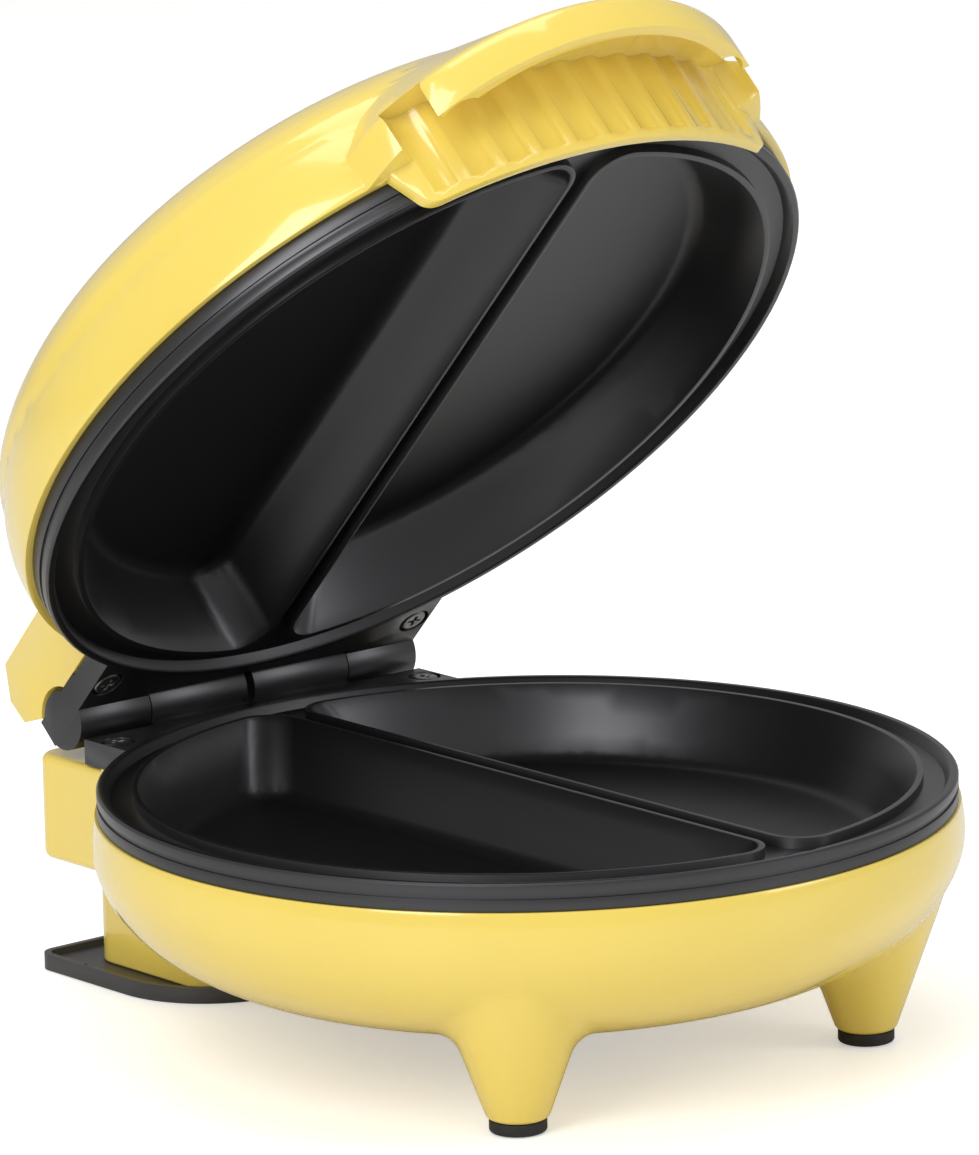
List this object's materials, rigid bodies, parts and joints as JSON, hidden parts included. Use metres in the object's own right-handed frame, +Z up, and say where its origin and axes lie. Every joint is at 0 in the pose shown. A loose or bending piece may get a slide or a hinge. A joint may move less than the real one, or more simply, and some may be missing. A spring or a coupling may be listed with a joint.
{
  "type": "omelette maker",
  "caption": "Countertop omelette maker: a hinged domed lid with a visor handle over a bowl-shaped base, with two half-moon cooking cavities in each half.",
  "frame": {"origin": "centre of the bounding box at floor level, with the lid as stored, half open", "axes": "+Z up, -Y to the front where the handle is, +X to the right of someone who looks from the front's opposite side; the hinge runs along X at the back"},
  "size_m": [0.21, 0.2408, 0.2551],
  "materials": {
    "amber_lens": "gloss",
    "black_plastic": "satin",
    "black_rubber": "matte",
    "bright_steel": "bright",
    "coated_plate": "satin non-stick coating",
    "element_steel": "satin",
    "insulation": "matte",
    "lamp_glass": "clear",
    "tin_plate": "bright",
    "yellow_shell": "gloss"
  },
  "bodies": {
    "base": {"lower_housing": "yellow_shell", "rear_foot_plate": "black_plastic", "rear_plate_screws": "bright_steel", "foot_pads": "black_rubber", "lower_cooking_plate": "coated_plate", "lower_plate_screws": "bright_steel", "lower_heating_element": "element_steel", "lower_element_clips": "tin_plate", "lower_clip_screws": "bright_steel", "lower_reflector": "tin_plate", "thermostat": "black_plastic", "thermal_fuse": "insulation", "terminal_block": "insulation", "lower_wiring": "insulation", "cord_gland": "black_rubber", "hinge_pins": "bright_steel"},
    "lid": {"upper_housing": "yellow_shell", "upper_cooking_plate": "coated_plate", "upper_plate_screws": "bright_steel", "upper_heating_element": "element_steel", "upper_element_clips": "tin_plate", "upper_clip_screws": "bright_steel", "upper_reflector": "tin_plate", "indicator_lenses": "amber_lens", "indicator_lamps": "lamp_glass", "lamp_holder": "insulation", "upper_wiring": "insulation"}
  },
  "joints": [
    {"name": "lid_hinge", "type": "hinge", "parent": "base", "child": "lid", "pos_m": [0, 0.09736, 0.0675], "axis": [1, 0, 0], "range_deg": [-26, 47]}
  ]
}
